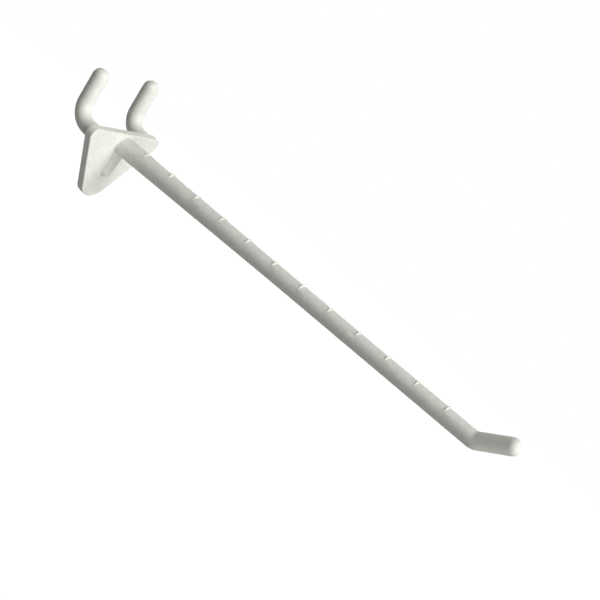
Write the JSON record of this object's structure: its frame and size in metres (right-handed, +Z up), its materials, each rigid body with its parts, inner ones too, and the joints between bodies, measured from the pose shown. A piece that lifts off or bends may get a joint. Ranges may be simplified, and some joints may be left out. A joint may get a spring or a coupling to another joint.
{
  "type": "perforated board hook",
  "caption": "Moulded nylon hook for perforated board, with bent prongs behind a rounded triangular plate and a long ridged arm ending in an upturned tip.",
  "frame": {"origin": "on the plate's back face, where it bears on the board, midway between the prongs and level with the axes of their straight stubs", "axes": "+X across the prongs, +Y into the board, square to the plate, +Z up; the arm points to -Y"},
  "size_m": [0.0334, 0.1628, 0.0401],
  "materials": {
    "nylon": "satin moulded surface, warm off-white"
  },
  "bodies": {
    "root": {"peg_hook": "nylon"}
  },
  "joints": []
}
